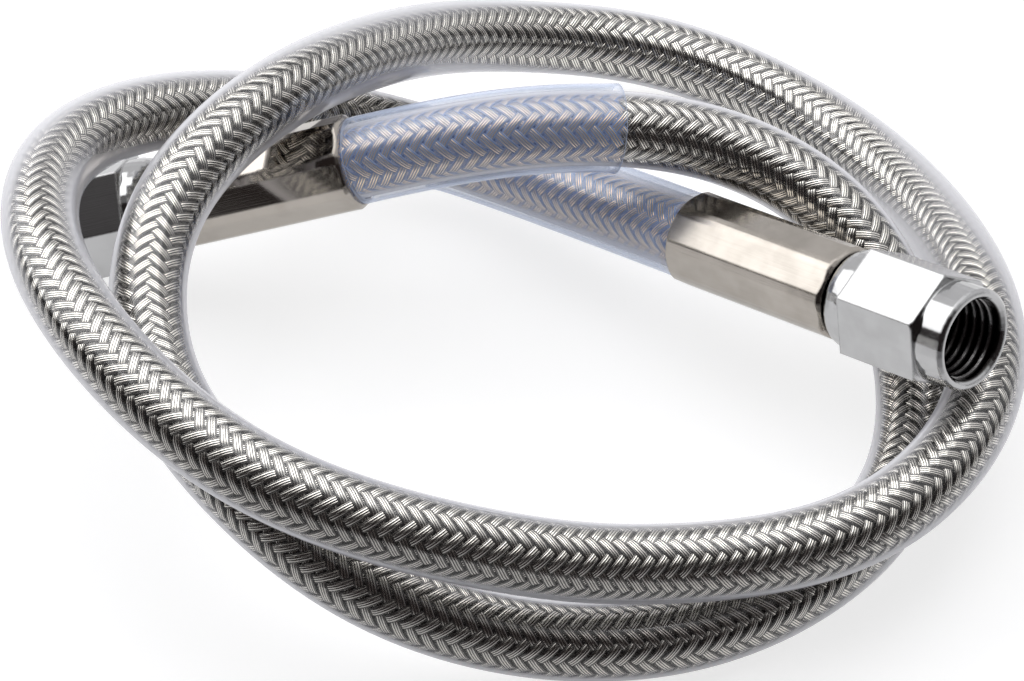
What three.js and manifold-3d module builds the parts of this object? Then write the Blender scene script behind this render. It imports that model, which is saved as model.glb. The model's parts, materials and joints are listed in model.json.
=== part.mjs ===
// Flexible brake line: a smooth inner tube under a woven stainless cover and a clear jacket, laid in
// about two loose turns, with a crimped stainless fitting and a female hexagon swivel nut at each end.
// Units are millimetres and +Z is up. The coil lies on the plane Z = 0, centred on the origin.

import * as THREE from 'three';
import { mergeVertices } from 'three/addons/utils/BufferGeometryUtils.js';
import Module from 'manifold-3d';

const wasm = await Module();
wasm.setup();

// Hose layers, from the outside in. Every layer clears the next by the same gap.
const JACKET_OD = 7.9;
const JACKET_WALL = 0.65;
const BRAID_WALL = 0.5;
const LINER_WALL = 0.6;
const LAYER_GAP = 0.3;
const JACKET_RADIUS = JACKET_OD / 2;
const JACKET_BORE = JACKET_RADIUS - JACKET_WALL;
const BRAID_RADIUS = JACKET_BORE - LAYER_GAP;
const BRAID_BORE = BRAID_RADIUS - BRAID_WALL;
const LINER_RADIUS = BRAID_BORE - LAYER_GAP;
const LINER_BORE = LINER_RADIUS - LINER_WALL;

// Clear support sleeve over the jacket, where the hose leaves a ferrule.
const SLEEVE_WALL = 0.45;
const SLEEVE_CLEARANCE = 0.2;
const SLEEVE_BORE = JACKET_RADIUS + SLEEVE_CLEARANCE;
const SLEEVE_RADIUS = SLEEVE_BORE + SLEEVE_WALL;

// Crimp ferrule: a round blank pressed to flats, closed at the nut's end but for the insert's hole.
const FERRULE_LENGTH = 21.7;
const FERRULE_RIDGE_OD = 10.1;
const FERRULE_FLAT_COUNT = 8;
const FERRULE_ACROSS_FLATS = 9.7;
const FERRULE_BEVEL = 0.4;
const FERRULE_END_WALL = 3.7;
const FERRULE_CLEARANCE = 0.3;

// Hose insert: barbed tail in the liner, collar in the ferrule, and a head with a flared seat.
const INSERT_BORE_OD = 1.5;
const TAIL_LENGTH = 13;
const TAIL_OD = 2.4;
const BARB_COUNT = 5;
const BARB_DEPTH = 0.2;
const BARB_SLOPE_SHARE = 0.8;
const NECK_OD = 5.8;
const SEAT_OD = 6.8;
const SEAT_HALF_ANGLE = THREE.MathUtils.degToRad(37);
const SEAT_DEPTH = 7.6;
const HEAD_BEVEL = 0.3;

// Swivel nut: domed collar at the rear, hexagon, and round nose with the mouth.
const NUT_LENGTH = 15.95;
const NUT_GAP = 0.5;
const HEX_SIDES = 6;
const HEX_ACROSS_FLATS = 11.1;
const REAR_FACE_OD = 9.4;
const DOME_OD = 10.9;
const DOME_LENGTH = 2.65;
const DOME_STEPS = 5;
const FRONT_CHAMFER = 0.25;
const NOSE_LENGTH = 3.4;
const NOSE_OD = 10.7;
const NOSE_BEVEL = 0.35;
const MOUTH_BEVEL = 0.4;
const THREAD_MINOR_OD = 8.5;
const THREAD_RELIEF = 0.25;
const THREAD_RELIEF_LENGTH = 1.6;
const NUT_END_WALL = 3.3;
const RUNNING_GAP = 0.3;

// Stations along a fitting, from the plane where the hose enters its ferrule, outwards to the mouth.
const FERRULE_BACK = 0.3;
const FERRULE_FRONT = FERRULE_BACK + FERRULE_LENGTH;
const HOSE_END = FERRULE_FRONT - FERRULE_END_WALL - LAYER_GAP;
const NUT_BACK = FERRULE_FRONT + NUT_GAP;
const NUT_FRONT = NUT_BACK + NUT_LENGTH;
const HEAD_BACK = NUT_BACK + NUT_END_WALL + RUNNING_GAP;
const SEAT_LIP = NUT_FRONT - SEAT_DEPTH;

// The two ends: where the hose enters the ferrule, and the way the nut's mouth points, in degrees.
// hexTurn and crimpTurn turn a corner of the nut and a ridge of the ferrule about the fitting's axis.
const ENDS = {
  a: { entry: [19, 1.6, 13.7], heading: -43.3, rise: 15.2, hexTurn: 22.2, crimpTurn: 19.8 },
  b: { entry: [-16, 6.3, 20.2], heading: 173.7, rise: -22, hexTurn: 23.7, crimpTurn: 2 },
};

// Route of the hose between the ferrules, chosen by hand: the loop out of end A, round to the left,
// across the front, up the right side and back behind for a second turn into end B.
const ROUTE = [
  [-7.5, 22.5, 7.5], [-23, 23.2, 12.3], [-37, 12.7, 22.4], [-48, 0.2, 27.8], [-48, -20, 31],
  [-33, -40, 27.5], [-17, -48.5, 24.5], [1.5, -48, 18], [13.5, -45.5, 14], [34.5, -41.5, 12.5],
  [48, -25, 12], [50, -8, 14], [42.5, 20, 5], [30.5, 33.5, 4], [16.5, 39, 7],
  [2, 37, 10.5], [-10.5, 28, 18.5], [-24.5, 8, 29.5], [-37, -7, 26.5], [-37, -24, 21],
  [-29.5, -37.5, 20], [-17, -46.5, 13], [-0.5, -48.5, 6], [20, -47, 4.5], [39, -32, 4.5],
  [43, -12.5, 6.5], [37, 1.5, 16.5], [21, 10, 21.5],
];

// Places along the route, in knots from either end: the braid's cut end is at 0.
const JACKET_CUT_KNOT = 0.5;
const ENTRY_KNOT = 1;
const SLEEVE_END_KNOTS = { a: 3, b: 2.5 };

// Fineness of the round shapes, and how far a cutting prism reaches past its blank.
const STEPS_PER_SPAN = 2;
const JACKET_SIDES = 12;
const INNER_SIDES = 8;
const SLEEVE_SIDES = 16;
const TURNED_SIDES = 36;
const INSERT_SIDES = 18;
const WELD_DISTANCE = 1e-4;
const CUT_MARGIN = 1;

// Smooth curve through the neighbourhood of its control points: a uniform cubic B-spline.
class RouteCurve extends THREE.Curve {
  constructor(controls) {
    super();
    this.controls = controls;
    this.spanCount = controls.length - 3;
  }

  getPoint(t, target = new THREE.Vector3()) {
    const place = t * this.spanCount;
    const span = Math.min(Math.floor(place), this.spanCount - 1);
    const u = place - span;
    const weights = [
      (1 - u) ** 3,
      3 * u ** 3 - 6 * u ** 2 + 4,
      -3 * u ** 3 + 3 * u ** 2 + 3 * u + 1,
      u ** 3,
    ];
    target.set(0, 0, 0);
    weights.forEach((weight, k) => target.addScaledVector(this.controls[span + k], weight / 6));
    return target;
  }
}

// Part of a route between two of its knots. Its steps fall evenly between knots, so every layer of
// the hose bends at the same places.
class HoseStretch extends THREE.Curve {
  constructor(route, fromKnot, toKnot) {
    super();
    this.route = route;
    this.from = fromKnot / route.spanCount;
    this.to = toKnot / route.spanCount;
    this.steps = Math.round((toKnot - fromKnot) * STEPS_PER_SPAN);
  }

  getPoint(t, target) {
    return this.route.getPoint(THREE.MathUtils.lerp(this.from, this.to, t), target);
  }

  getUtoTmapping(u) {
    return u;
  }
}

// Unit vector along a fitting, from the hose towards the nut's mouth.
function outwardAxis({ heading, rise }) {
  const azimuth = THREE.MathUtils.degToRad(heading);
  const elevation = THREE.MathUtils.degToRad(rise);
  return new THREE.Vector3(
    Math.cos(elevation) * Math.cos(azimuth),
    Math.cos(elevation) * Math.sin(azimuth),
    Math.sin(elevation),
  );
}

// Control points along a fitting's axis, the deepest first. The route starts at the hose's cut end.
function straightControls(end) {
  const entry = new THREE.Vector3(...end.entry);
  const axis = outwardAxis(end);
  return [2, 1, 0, -1].map((step) => entry.clone().addScaledVector(axis, step * HOSE_END));
}

function hoseRoute() {
  const middle = ROUTE.map((point) => new THREE.Vector3(...point));
  return new RouteCurve([
    ...straightControls(ENDS.a), ...middle, ...straightControls(ENDS.b).reverse(),
  ]);
}

// Tube of a given outer radius and bore along a stretch of hose.
function tubeAlong(stretch, radius, bore, sides) {
  const section = new THREE.Shape().absarc(0, 0, radius, 0, 2 * Math.PI);
  section.holes.push(new THREE.Path().absarc(0, 0, bore, 0, 2 * Math.PI));
  return new THREE.ExtrudeGeometry(section, {
    extrudePath: stretch,
    steps: stretch.steps,
    curveSegments: sides / 2,
  });
}

// Ring turned about the Z axis from a profile of [radius, height] points. The profile runs up the
// outside and down the inside, and closes on its first point.
function turned(profile, sides = TURNED_SIDES) {
  const points = [...profile, profile[0]].map(([radius, height]) => new THREE.Vector2(radius, height));
  return new THREE.LatheGeometry(points, sides).rotateX(Math.PI / 2);
}

// Straight prism about the Z axis, with a regular outline given across its flats.
function prism(sideCount, acrossFlats, turn, bottom, top) {
  const cornerRadius = acrossFlats / 2 / Math.cos(Math.PI / sideCount);
  const corners = Array.from({ length: sideCount }, (_, k) => {
    const angle = THREE.MathUtils.degToRad(turn) + (2 * Math.PI * k) / sideCount;
    return new THREE.Vector2(cornerRadius * Math.cos(angle), cornerRadius * Math.sin(angle));
  });
  const outline = new THREE.Shape(corners);
  return new THREE.ExtrudeGeometry(outline, { depth: top - bottom, bevelEnabled: false })
    .translate(0, 0, bottom);
}

function toSolid(geometry) {
  const bare = geometry.clone();
  bare.deleteAttribute('normal');
  bare.deleteAttribute('uv');
  const merged = mergeVertices(bare, WELD_DISTANCE);
  return new wasm.Manifold(new wasm.Mesh({
    numProp: 3,
    vertProperties: new Float32Array(merged.attributes.position.array),
    triVerts: new Uint32Array(merged.index.array),
  }));
}

function fromSolid(solid) {
  const mesh = solid.getMesh();
  const geometry = new THREE.BufferGeometry();
  geometry.setAttribute('position', new THREE.BufferAttribute(mesh.vertProperties, 3));
  geometry.setIndex(new THREE.BufferAttribute(mesh.triVerts, 1));
  const facets = geometry.toNonIndexed();
  facets.computeVertexNormals();
  return facets;
}

// Ferrule: an eight-sided pressing with its corners left round, bored for the jacket and the braid.
function ferruleGeometry(crimpTurn) {
  const ridge = FERRULE_RIDGE_OD / 2;
  const entryBore = JACKET_RADIUS + FERRULE_CLEARANCE;
  const mainBore = NECK_OD / 2 + FERRULE_CLEARANCE;
  const counterboreEnd = HOSE_END * (ENTRY_KNOT - JACKET_CUT_KNOT) + LAYER_GAP;
  const blank = turned([
    [entryBore, FERRULE_BACK],
    [ridge - FERRULE_BEVEL, FERRULE_BACK],
    [ridge, FERRULE_BACK + FERRULE_BEVEL],
    [ridge, FERRULE_FRONT - FERRULE_BEVEL],
    [ridge - FERRULE_BEVEL, FERRULE_FRONT],
    [mainBore, FERRULE_FRONT],
    [mainBore, FERRULE_FRONT - FERRULE_END_WALL],
    [BRAID_RADIUS + FERRULE_CLEARANCE, FERRULE_FRONT - FERRULE_END_WALL],
    [BRAID_RADIUS + FERRULE_CLEARANCE, counterboreEnd],
    [entryBore, counterboreEnd],
  ]);
  const press = prism(
    FERRULE_FLAT_COUNT, FERRULE_ACROSS_FLATS, crimpTurn,
    FERRULE_BACK - CUT_MARGIN, FERRULE_FRONT + CUT_MARGIN,
  );
  return fromSolid(toSolid(blank).intersect(toSolid(press)));
}

// Insert: turned in one piece, with its barbs in the liner and its flared seat inside the nut.
function insertGeometry() {
  const bore = INSERT_BORE_OD / 2;
  const tail = TAIL_OD / 2;
  const neck = NECK_OD / 2;
  const head = THREAD_MINOR_OD / 2 - RUNNING_GAP;
  const seat = SEAT_OD / 2;
  const shoulder = HOSE_END + LAYER_GAP;
  const tailBack = shoulder - TAIL_LENGTH;
  const barbPitch = TAIL_LENGTH / (BARB_COUNT + 1);
  const barbs = Array.from({ length: BARB_COUNT }, (_, k) => [
    [tail - BARB_DEPTH, tailBack + k * barbPitch],
    [tail, tailBack + (k + BARB_SLOPE_SHARE) * barbPitch],
  ]).flat();
  return turned([
    [bore, tailBack],
    ...barbs,
    [tail - BARB_DEPTH, shoulder - barbPitch],
    [tail - BARB_DEPTH, shoulder],
    [neck, shoulder],
    [neck, HEAD_BACK],
    [head, HEAD_BACK],
    [head, SEAT_LIP - HEAD_BEVEL],
    [head - HEAD_BEVEL, SEAT_LIP],
    [seat, SEAT_LIP],
    [bore, SEAT_LIP - (seat - bore) / Math.tan(SEAT_HALF_ANGLE)],
  ], INSERT_SIDES);
}

// Nut: turned blank with a domed collar and a round nose, cut to a hexagon and bored from the mouth.
function nutGeometry(hexTurn) {
  const corner = HEX_ACROSS_FLATS / 2 / Math.cos(Math.PI / HEX_SIDES);
  const rear = REAR_FACE_OD / 2;
  const collar = DOME_OD / 2;
  const nose = NOSE_OD / 2;
  const thread = THREAD_MINOR_OD / 2;
  const hexBack = NUT_BACK + DOME_LENGTH;
  const hexFront = NUT_FRONT - NOSE_LENGTH;
  const boreEnd = NUT_BACK + NUT_END_WALL;
  const dome = Array.from({ length: DOME_STEPS + 1 }, (_, k) => {
    const angle = (k / DOME_STEPS) * (Math.PI / 2);
    return [
      rear + (collar - rear) * Math.sin(angle),
      NUT_BACK + DOME_LENGTH * (1 - Math.cos(angle)),
    ];
  });
  const blank = turned([
    [NECK_OD / 2 + RUNNING_GAP, NUT_BACK],
    ...dome,
    [corner, hexBack],
    [corner, hexFront - FRONT_CHAMFER],
    [corner - FRONT_CHAMFER, hexFront],
    [nose, hexFront],
    [nose, NUT_FRONT - NOSE_BEVEL],
    [nose - NOSE_BEVEL, NUT_FRONT],
    [thread + MOUTH_BEVEL, NUT_FRONT],
    [thread, NUT_FRONT - MOUTH_BEVEL],
    [thread, boreEnd + THREAD_RELIEF_LENGTH],
    [thread + THREAD_RELIEF, boreEnd + THREAD_RELIEF_LENGTH - THREAD_RELIEF],
    [thread + THREAD_RELIEF, boreEnd],
    [NECK_OD / 2 + RUNNING_GAP, boreEnd],
  ]);
  const hexagon = prism(
    HEX_SIDES, HEX_ACROSS_FLATS, hexTurn, NUT_BACK - CUT_MARGIN, NUT_FRONT + CUT_MARGIN,
  );
  return fromSolid(toSolid(blank).intersect(toSolid(hexagon)));
}

function named(name, geometry, finish) {
  const mesh = new THREE.Mesh(geometry, new THREE.MeshStandardMaterial({ name, ...finish }));
  mesh.name = name;
  return mesh;
}

const LINER_FINISH = { color: 0xf1efe8, roughness: 0.35, metalness: 0 };
const BRAID_FINISH = { color: 0xb9b2a4, roughness: 0.35, metalness: 1 };
const JACKET_FINISH = { color: 0xdcdbe4, roughness: 0.12, metalness: 0, transparent: true, opacity: 0.4 };
const SLEEVE_FINISH = { color: 0x9fa6e0, roughness: 0.15, metalness: 0, transparent: true, opacity: 0.5 };
const STEEL_FINISH = { color: 0xd0cecb, roughness: 0.25, metalness: 1 };
const NUT_FINISH = { color: 0xdadad9, roughness: 0.2, metalness: 1 };

function addHose(parent, route) {
  const last = route.spanCount;
  const jacketStretch = new HoseStretch(route, JACKET_CUT_KNOT, last - JACKET_CUT_KNOT);
  const innerStretch = new HoseStretch(route, 0, last);
  parent.add(
    named('clear_jacket', tubeAlong(jacketStretch, JACKET_RADIUS, JACKET_BORE, JACKET_SIDES), JACKET_FINISH),
    named('steel_braid', tubeAlong(innerStretch, BRAID_RADIUS, BRAID_BORE, INNER_SIDES), BRAID_FINISH),
    named('ptfe_liner', tubeAlong(innerStretch, LINER_RADIUS, LINER_BORE, INNER_SIDES), LINER_FINISH),
  );
}

function addSleeves(parent, route) {
  const last = route.spanCount;
  const stretches = {
    a: new HoseStretch(route, ENTRY_KNOT, SLEEVE_END_KNOTS.a),
    b: new HoseStretch(route, last - SLEEVE_END_KNOTS.b, last - ENTRY_KNOT),
  };
  for (const [letter, stretch] of Object.entries(stretches)) {
    const geometry = tubeAlong(stretch, SLEEVE_RADIUS, SLEEVE_BORE, SLEEVE_SIDES);
    parent.add(named(`support_sleeve_${letter}`, geometry, SLEEVE_FINISH));
  }
}

// A fitting's own Z axis points out of the nut's mouth, and its X axis lies level.
function addFitting(parent, letter, end) {
  const fitting = new THREE.Group();
  const outward = outwardAxis(end);
  const level = new THREE.Vector3(-outward.y, outward.x, 0).normalize();
  const upper = new THREE.Vector3().crossVectors(outward, level);
  fitting.quaternion.setFromRotationMatrix(new THREE.Matrix4().makeBasis(level, upper, outward));
  fitting.position.set(...end.entry);
  fitting.add(
    named(`crimp_ferrule_${letter}`, ferruleGeometry(end.crimpTurn), STEEL_FINISH),
    named(`hose_insert_${letter}`, insertGeometry(), STEEL_FINISH),
    named(`swivel_nut_${letter}`, nutGeometry(end.hexTurn), NUT_FINISH),
  );
  parent.add(fitting);
}

function brakeLine() {
  const line = new THREE.Group();
  const route = hoseRoute();
  addHose(line, route);
  addSleeves(line, route);
  addFitting(line, 'a', ENDS.a);
  addFitting(line, 'b', ENDS.b);
  const box = new THREE.Box3().setFromObject(line, true);
  const centre = box.getCenter(new THREE.Vector3());
  line.position.set(-centre.x, -centre.y, -box.min.z);
  return line;
}

export default brakeLine();
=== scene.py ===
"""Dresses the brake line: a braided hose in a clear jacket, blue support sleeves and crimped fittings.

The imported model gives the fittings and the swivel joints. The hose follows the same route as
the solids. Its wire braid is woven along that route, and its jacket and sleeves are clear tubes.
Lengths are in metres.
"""

from __future__ import annotations

import json
import logging
import math
from dataclasses import dataclass
from enum import Enum

import bmesh
import bpy
from bpy.types import Material, Mesh, Node, NodeInputs, NodeOutputs, NodeSocket, NodeTree, Object
from mathutils import Matrix, Vector


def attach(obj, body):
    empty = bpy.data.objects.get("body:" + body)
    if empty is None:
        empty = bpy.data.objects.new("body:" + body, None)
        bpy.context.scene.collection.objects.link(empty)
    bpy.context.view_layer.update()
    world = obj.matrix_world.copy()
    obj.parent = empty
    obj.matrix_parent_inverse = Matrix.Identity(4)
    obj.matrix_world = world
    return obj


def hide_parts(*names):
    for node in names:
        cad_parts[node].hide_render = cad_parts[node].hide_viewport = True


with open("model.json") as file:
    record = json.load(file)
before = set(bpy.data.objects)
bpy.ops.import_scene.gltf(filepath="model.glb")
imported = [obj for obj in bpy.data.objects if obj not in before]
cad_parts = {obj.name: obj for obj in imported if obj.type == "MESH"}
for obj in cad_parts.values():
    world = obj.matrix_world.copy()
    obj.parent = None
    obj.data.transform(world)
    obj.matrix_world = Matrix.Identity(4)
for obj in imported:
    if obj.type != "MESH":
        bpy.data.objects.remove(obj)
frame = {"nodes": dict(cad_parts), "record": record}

LOG = logging.getLogger("brake_line")

Place = tuple[float, float, float]
Colour = tuple[float, float, float, float]

BLACK: Colour = (0.0, 0.0, 0.0, 1.0)
WHITE: Colour = (1.0, 1.0, 1.0, 1.0)
# Depth of the fine relief that the finishes draw.
RELIEF = 0.00003


class End(Enum):
    """The two ends of the line, named by the letter that their pieces carry."""

    RIGHT = "a"
    LEFT = "b"


def distances_along(path: list[Vector]) -> list[float]:
    """Measures a path.

    Args:
        path: its points.

    Returns:
        How far along it each point lies.
    """
    travelled = [0.0]
    for before, after in zip(path, path[1:]):
        travelled.append(travelled[-1] + (after - before).length)
    return travelled


@dataclass(frozen=True)
class FittingPlace:
    """Where one fitting sits.

    Args:
        entry: the point where the hose enters the ferrule.
        heading: the way that the nut's mouth points, in degrees round from +X.
        rise: how far that way points above the horizon, in degrees.
    """

    entry: Place
    heading: float
    rise: float

    def axis(self) -> Vector:
        """Finds the way that the fitting points.

        Returns:
            The unit vector along it, towards the nut's mouth.
        """
        azimuth = math.radians(self.heading)
        elevation = math.radians(self.rise)
        level = math.cos(elevation)
        return Vector((level * math.cos(azimuth), level * math.sin(azimuth), math.sin(elevation)))

    def basis(self) -> Matrix:
        """Finds the fitting's turn.

        Returns:
            The turn, with X level and Z along the fitting's axis.
        """
        outward = self.axis()
        level = Vector((-outward.y, outward.x, 0.0)).normalized()
        upper = outward.cross(level)
        return Matrix((level, upper, outward)).transposed()


@dataclass(frozen=True)
class HoseRoute:
    """The hose's centreline: a uniform cubic B-spline through listed control points.

    Args:
        places: the fitting at each end.
        middle: the control points between the two ferrules.
        cut_depth: how far the hose's cut end lies inside a ferrule.
        reach: distance from where the hose enters a ferrule to the nut's mouth.
        measure_step: spacing of the points that a length is measured by.
        span_points: points to a span, from which evenly spaced ones are found.
    """

    places: dict[End, FittingPlace]
    middle: tuple[Place, ...]
    cut_depth: float = 0.018
    reach: float = 0.03845
    measure_step: float = 0.001
    span_points: int = 60

    STRAIGHT_STEPS = (-1, 0, 1, 2)

    def offset(self) -> Vector:
        """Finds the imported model's place.

        Returns:
            How far it lies from the route's own origin.
        """
        joints = frame["record"]["behaviour"]["joints"]
        mouth = next(joint["pos_m"] for joint in joints if joint["name"] == "swivel_a")
        place = self.places[End.RIGHT]
        return Vector(mouth) - Vector(place.entry) - place.axis() * self.reach

    def entry(self, end: End) -> Vector:
        """Returns the point where the hose enters a ferrule, in the model's frame."""
        return Vector(self.places[end].entry) + self.offset()

    def straight(self, end: End) -> list[Vector]:
        """Returns the control points on a fitting's axis, from the one nearest the free hose."""
        axis = self.places[end].axis()
        return [self.entry(end) + axis * step * self.cut_depth for step in self.STRAIGHT_STEPS]

    def controls(self) -> list[Vector]:
        """Lists the control points.

        Returns:
            The points, from those in ferrule a to those in ferrule b.
        """
        offset = self.offset()
        free = [Vector(point) + offset for point in self.middle]
        return [*reversed(self.straight(End.RIGHT)), *free, *self.straight(End.LEFT)]

    def last_knot(self) -> int:
        """Returns the number of spans, which is also the last knot: three fewer than the control points."""
        return len(self.middle) + 2 * len(self.STRAIGHT_STEPS) - 3

    def at_knot(self, controls: list[Vector], knot: float) -> Vector:
        """Finds the point of the curve at a knot value.

        Args:
            controls: the control points.
            knot: from 0 to last_knot().

        Returns:
            The point.
        """
        span = min(int(knot), self.last_knot() - 1)
        u = knot - span
        weights = ((1 - u) ** 3, 3 * u**3 - 6 * u**2 + 4, -3 * u**3 + 3 * u**2 + 3 * u + 1, u**3)
        point = Vector((0.0, 0.0, 0.0))
        for weight, control in zip(weights, controls[span:span + 4]):
            point += control * (weight / 6)
        return point

    def length(self, first: float, last: float) -> float:
        """Returns the length of hose between two knots."""
        return distances_along(self.sample(first, last, self.measure_step))[-1]

    def sample(self, first: float, last: float, spacing: float) -> list[Vector]:
        """Lays evenly spaced points along a stretch of the hose.

        Args:
            first: knot value where the stretch begins.
            last: knot value where it ends.
            spacing: wanted distance between points.

        Returns:
            The points.
        """
        controls = self.controls()
        fine = max(2, round((last - first) * self.span_points))
        knots = [first + (last - first) * k / fine for k in range(fine + 1)]
        travelled = distances_along([self.at_knot(controls, knot) for knot in knots])
        count = max(2, round(travelled[-1] / spacing))
        result = []
        index = 0
        for k in range(count + 1):
            wanted = travelled[-1] * k / count
            while index < fine - 1 and travelled[index + 1] < wanted:
                index += 1
            share = (wanted - travelled[index]) / (travelled[index + 1] - travelled[index])
            knot = knots[index] + (knots[index + 1] - knots[index]) * min(1.0, share)
            result.append(self.at_knot(controls, knot))
        return result


# How far each support sleeve reaches, in knots from its end of the hose.
SLEEVE_KNOTS = {End.RIGHT: 3.0, End.LEFT: 2.5}

ROUTE = HoseRoute(
    places={
        End.RIGHT: FittingPlace(entry=(0.019, 0.0016, 0.0137), heading=-43.3, rise=15.2),
        End.LEFT: FittingPlace(entry=(-0.016, 0.0063, 0.0202), heading=173.7, rise=-22),
    },
    middle=(
        (-0.0075, 0.0225, 0.0075), (-0.023, 0.0232, 0.0123), (-0.037, 0.0127, 0.0224),
        (-0.048, 0.0002, 0.0278), (-0.048, -0.02, 0.031), (-0.033, -0.04, 0.0275),
        (-0.017, -0.0485, 0.0245), (0.0015, -0.048, 0.018), (0.0135, -0.0455, 0.014),
        (0.0345, -0.0415, 0.0125), (0.048, -0.025, 0.012), (0.05, -0.008, 0.014),
        (0.0425, 0.02, 0.005), (0.0305, 0.0335, 0.004), (0.0165, 0.039, 0.007),
        (0.002, 0.037, 0.0105), (-0.0105, 0.028, 0.0185), (-0.0245, 0.008, 0.0295),
        (-0.037, -0.007, 0.0265), (-0.037, -0.024, 0.021), (-0.0295, -0.0375, 0.02),
        (-0.017, -0.0465, 0.013), (-0.0005, -0.0485, 0.006), (0.02, -0.047, 0.0045),
        (0.039, -0.032, 0.0045), (0.043, -0.0125, 0.0065), (0.037, 0.0015, 0.0165),
        (0.021, 0.01, 0.0215),
    ),
)


class Graph:
    """Short hand for building a node tree."""

    def __init__(self, tree: NodeTree) -> None:
        """Keeps the tree that the nodes go into."""
        self.tree = tree

    def node(self, kind: str, settings: dict | None = None, **inputs: object) -> Node:
        """Adds a node.

        Args:
            kind: the node's type name.
            settings: properties of the node itself.
            inputs: socket values or sources, by socket name with _ for a space.

        Returns:
            The new node.
        """
        node = self.tree.nodes.new(kind)
        for name, value in (settings or {}).items():
            setattr(node, name, value)
        self.fill(node, **inputs)
        return node

    def fill(self, node: Node, **inputs: object) -> None:
        """Gives a node's inputs their values or sources, by socket name with _ for a space."""
        for name, value in inputs.items():
            self.feed(node.inputs[name.replace("_", " ")], value)

    def feed(self, socket: NodeSocket, value: object) -> None:
        """Gives a socket a value, or links a source to it.

        Args:
            socket: the input.
            value: a value, a socket, or a node for its first output.
        """
        if isinstance(value, Node):
            value = value.outputs[0]
        if isinstance(value, NodeSocket):
            self.tree.links.new(value, socket)
        else:
            socket.default_value = value

    def math(self, operation: str, *values: object) -> NodeSocket:
        """Adds a Math node.

        Args:
            operation: what it works out.
            values: values or sources, in the order of its inputs.

        Returns:
            Its result.
        """
        node = self.node("ShaderNodeMath", {"operation": operation})
        for socket, value in zip(node.inputs, values):
            self.feed(socket, value)
        return node.outputs[0]

    def times(self, first: object, second: object) -> NodeSocket:
        """Returns the product of two numbers."""
        return self.math("MULTIPLY", first, second)

    def vector(self, operation: str, *values: object) -> NodeSocket:
        """Adds a Vector Math node.

        Args:
            operation: what it works out.
            values: values or sources. A scale's number comes second.

        Returns:
            Its result.
        """
        node = self.node("ShaderNodeVectorMath", {"operation": operation})
        sockets = [node.inputs[0], node.inputs["Scale"]] if operation == "SCALE" else node.inputs
        for socket, value in zip(sockets, values):
            self.feed(socket, value)
        return node.outputs["Value" if operation == "LENGTH" else "Vector"]

    def ramp(
        self, value: object, low: object, high: float, start: float = 0.0, end: float = 1.0
    ) -> NodeSocket:
        """Maps a value smoothly from one range to another, and holds it beyond them.

        Args:
            value: the value.
            low: where the first range begins.
            high: where it ends.
            start: where the second range begins.
            end: where it ends.

        Returns:
            The mapped value.
        """
        node = self.node("ShaderNodeMapRange", {"interpolation_type": "SMOOTHSTEP"})
        names = ("Value", "From Min", "From Max", "To Min", "To Max")
        for name, number in zip(names, (value, low, high, start, end)):
            self.feed(node.inputs[name], number)
        return node.outputs[0]

    def blend(self, share: object, first: object, second: object) -> NodeSocket:
        """Mixes two colours.

        Args:
            share: the share of the second one, from 0 to 1.
            first: a colour.
            second: another.

        Returns:
            The mix.
        """
        node = self.node("ShaderNodeMix", {"data_type": "RGBA"})
        for index, value in ((0, share), (6, first), (7, second)):
            self.feed(node.inputs[index], value)
        return node.outputs[2]

    def parts(self, vector: object) -> NodeOutputs:
        """Returns the X, Y and Z of a vector."""
        return self.node("ShaderNodeSeparateXYZ", Vector=vector).outputs

    def spot(self) -> NodeSocket:
        """Returns the place on a piece, in the model's frame."""
        return self.node("ShaderNodeTexCoord").outputs["Object"]

    def attribute(self, name: str) -> NodeSocket:
        """Returns a number that the mesh carries."""
        return self.node("ShaderNodeAttribute", {"attribute_name": name}).outputs["Fac"]


def new_material(name: str) -> tuple[Material, Graph, Node]:
    """Makes an empty node material.

    Args:
        name: the material's name.

    Returns:
        The material, its graph and its Principled BSDF.
    """
    material = bpy.data.materials.new(name)
    material.use_nodes = True
    principled = material.node_tree.nodes["Principled BSDF"]
    return material, Graph(material.node_tree), principled


def new_group(
    name: str, kind: str, inputs: dict[str, str], outputs: dict[str, str]
) -> tuple[Graph, NodeOutputs, NodeInputs]:
    """Makes an empty node group with named inputs and outputs.

    Args:
        name: the group's name.
        kind: its type name.
        inputs: the sort of each input, by its name.
        outputs: the sort of each output, by its name.

    Returns:
        The group's graph, what its inputs hand in, and what its outputs take.
    """
    tree = bpy.data.node_groups.new(name, kind)
    for way, sockets in (("INPUT", inputs), ("OUTPUT", outputs)):
        for label, sort in sockets.items():
            tree.interface.new_socket(name=label, in_out=way, socket_type=f"NodeSocket{sort}")
    graph = Graph(tree)
    return graph, graph.node("NodeGroupInput").outputs, graph.node("NodeGroupOutput").inputs


def end_tree(graph: Graph, shape: object, taken: object, given: object) -> NodeTree:
    """Makes a tree's shape real, gives it the tree's material and hands it out.

    Args:
        graph: the tree's graph.
        shape: the geometry.
        taken: what the tree's inputs hand in.
        given: what its outputs take.

    Returns:
        The tree.
    """
    real = graph.node("GeometryNodeRealizeInstances", Geometry=shape)
    painted = graph.node("GeometryNodeSetMaterial", Geometry=real, Material=taken["Material"])
    graph.feed(given["Geometry"], painted)
    return graph.tree


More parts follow.
